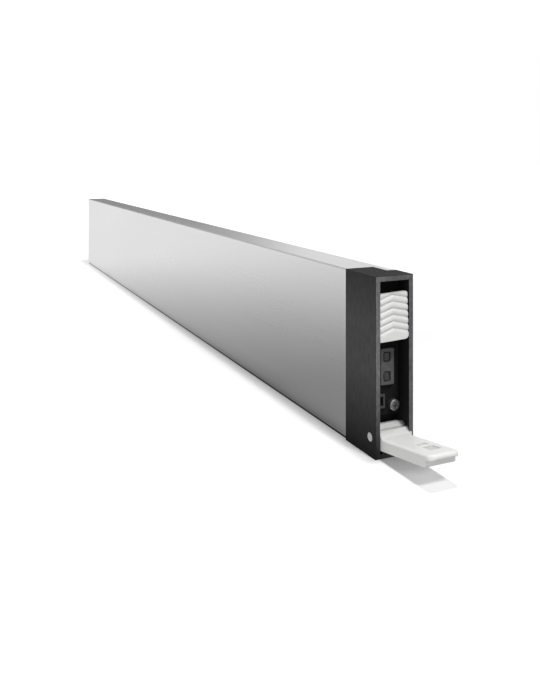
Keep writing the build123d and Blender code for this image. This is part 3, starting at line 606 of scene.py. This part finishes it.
# Floor: a pale matt sheet, white to the camera where no shadow falls on it, with a painted shadow
# under the lever's root where its glow is lowered. In the metal it shows with painted shade, dimmer
# close to the object and most of all beside its foot, and white further away.
FLOOR_SIZE = 8.0
FLOOR_ROUGHNESS = 0.9
FLOOR_PALE = 0.84
FLOOR_AS_LIGHT = 0.5
FLOOR_SHADE_IN_METAL = 0.22
LIFT_CENTRE = (0.14, 0.0, 0.0)
LIFT = 0.22
LIFT_START = 0.1
LIFT_END = 0.6
SHADOW_DIP_CENTRE = (0.159, 0.0, 0.0)
PAINTED_SHADOW_DIP = 0.15
SHADOW_DIP_START = 0.004
SHADOW_DIP_END = 0.0075
NEAR = 0.045
MIDDLE = 0.3
FAR = 1.0
MIDDLE_LIFT = 0.8
FAR_LIFT = 0.2
FOOT = 0.0042
FOOT_END = 0.0068
FOOT_SHADE_SHARE = 0.5


def distance(tree, place, centre):
    """How far a place is from a centre."""
    made = add_node(tree, "ShaderNodeVectorMath", {0: place, 1: centre}, operation="DISTANCE")
    return made.outputs["Value"]


bpy.ops.mesh.primitive_plane_add(size=FLOOR_SIZE)
floor = bpy.context.object
floor.name = "floor"
floor_paper, tree, shader = start_material("floor_paper", (FLOOR_PALE,) * 3, FLOOR_ROUGHNESS)
shader.inputs["Specular IOR Level"].default_value = 0.0
rays = tree.nodes.new("ShaderNodeLightPath").outputs
mirrored = combine(tree, "MAXIMUM", rays["Is Glossy Ray"], rays["Is Transmission Ray"])
seen = spread(tree, rays["Is Camera Ray"], FLOOR_AS_LIGHT, FLOOR_PALE, 0.0, 1.0)
# Painted shade: in the metal the floor's colour is dimmed.
dimmed = spread(tree, mirrored, 1.0, FLOOR_SHADE_IN_METAL / FLOOR_AS_LIGHT, 0.0, 1.0)
shade(tree, shader, (1.0, 1.0, 1.0), combine(tree, "MULTIPLY", seen, dimmed))
place = own_place(tree)
away = distance(tree, place, LIFT_CENTRE)
from_root = distance(tree, place, SHADOW_DIP_CENTRE)
# Painted shadow: under the lever's root the floor's glow to the camera is lowered.
lift_for_camera = combine(
    tree, "SUBTRACT", spread(tree, away, LIFT, 1.0, LIFT_START, LIFT_END),
    spread(tree, from_root, PAINTED_SHADOW_DIP, 0.0, SHADOW_DIP_START, SHADOW_DIP_END),
)
aside = combine(tree, "ABSOLUTE", split(tree, place)["Y"])
# Painted shade: in the metal the floor's glow is low close to the object, lower still beside its foot,
# and rises to white further away.
lift_in_metal = combine(
    tree, "ADD", spread(tree, away, 0.0, MIDDLE_LIFT, NEAR, MIDDLE),
    spread(tree, away, 0.0, FAR_LIFT, MIDDLE, FAR),
)
foot = spread(tree, aside, FOOT_SHADE_SHARE, 1.0, FOOT, FOOT_END)
lift_in_metal = combine(tree, "MULTIPLY", lift_in_metal, foot)
lift = combine(
    tree, "ADD", combine(tree, "MULTIPLY", rays["Is Camera Ray"], lift_for_camera),
    combine(tree, "MULTIPLY", mirrored, lift_in_metal),
)
shader.inputs["Emission Color"].default_value = (1, 1, 1, 1)
tree.links.new(lift, shader.inputs["Emission Strength"])
floor.data.materials.append(floor_paper)
floor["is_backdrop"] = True

# World: white behind the object; as light, a room that is dim at the horizon, bright in a band above
# it, and dim overhead, with a dark wall at the far end.
ROOM_LIGHT = ((0.0, 0.26), (0.06, 0.3), (0.15, 0.85), (0.3, 0.6), (0.6, 0.15), (1.0, 0.1))
WALL_LEVELS = (0.38, 1.4)
WALL_START = -0.917
WALL_END = -0.88
world = bpy.data.worlds.new("studio")
bpy.context.scene.world = world
world.use_nodes = True
tree = world.node_tree
background = tree.nodes["Background"]
direction = split(tree, tree.nodes.new("ShaderNodeTexCoord").outputs["Generated"])
room = add_node(tree, "ShaderNodeValToRGB", {"Fac": direction["Z"]})
ramp = room.color_ramp
while len(ramp.elements) < len(ROOM_LIGHT):
    ramp.elements.new(0.5)
for element, (height, level) in zip(ramp.elements, ROOM_LIGHT):
    element.position = height
    element.color = (level, level, level, 1)
rays = tree.nodes.new("ShaderNodeLightPath").outputs
wall = spread(tree, direction["X"], *WALL_LEVELS, WALL_START, WALL_END)
walled = combine(tree, "MULTIPLY", room.outputs["Color"], wall)
background.inputs["Color"].default_value = (1, 1, 1, 1)
strength = combine(tree, "MAXIMUM", walled, rays["Is Camera Ray"])
tree.links.new(strength, background.inputs["Strength"])

# Lamps: a square key high above the far side, a softer one high in front on the same side, and a
# weak wide fill low on the near side.
LAMPS = {
    "key": {"place": (0.14, 0.045, 0.8), "aim": (0.14, 0.0, 0.0), "size": 0.045, "power": 2.05},
    "front": {"place": (0.48, 0.04, 0.518), "aim": (0.155, 0.0, 0.015), "size": 0.08, "power": 1.75},
    "fill": {"place": (0.25, -0.55, 0.16), "aim": (0.155, 0.0, 0.015), "size": 0.3, "power": 0.62},
}


def softbox(name, place, aim, size, power):
    """A square lamp at a place, turned to what it lights."""
    lamp = bpy.data.lights.new(name, "AREA")
    lamp.shape = "SQUARE"
    lamp.size = size
    lamp.energy = power
    made = bpy.data.objects.new(name, lamp)
    bpy.context.scene.collection.objects.link(made)
    made.location = place
    made.rotation_mode = "QUATERNION"
    made.rotation_quaternion = (Vector(aim) - Vector(place)).to_track_quat("-Z", "Y")


for name, settings in LAMPS.items():
    softbox(name, **settings)

# Camera: level, beside the latch end, with its picture shifted down to the module. Its place and its
# focal length were fitted to the edges in the photograph.
CAMERA_PLACE = (0.28778, -0.08899, 0.06357)
CAMERA_FORWARD = (-0.90951, 0.41569, 0.0)
SENSOR = 36.0
FOCAL_PIXELS = 737.8
HORIZON_ROW = 156.58
PICTURE_HEIGHT = 700
NEAREST = 0.01
camera_data = bpy.data.cameras.new("camera")
camera_data.sensor_width = SENSOR
camera_data.lens = FOCAL_PIXELS / PICTURE_HEIGHT * SENSOR
camera_data.shift_y = (HORIZON_ROW - PICTURE_HEIGHT / 2) / PICTURE_HEIGHT
camera_data.clip_start = NEAREST
camera = bpy.data.objects.new("camera", camera_data)
bpy.context.scene.collection.objects.link(camera)
camera.location = CAMERA_PLACE
camera.rotation_mode = "QUATERNION"
camera.rotation_quaternion = Vector(CAMERA_FORWARD).to_track_quat("-Z", "Y")
bpy.context.scene.camera = camera
bpy.context.scene.view_settings.view_transform = "Standard"

low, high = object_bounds()
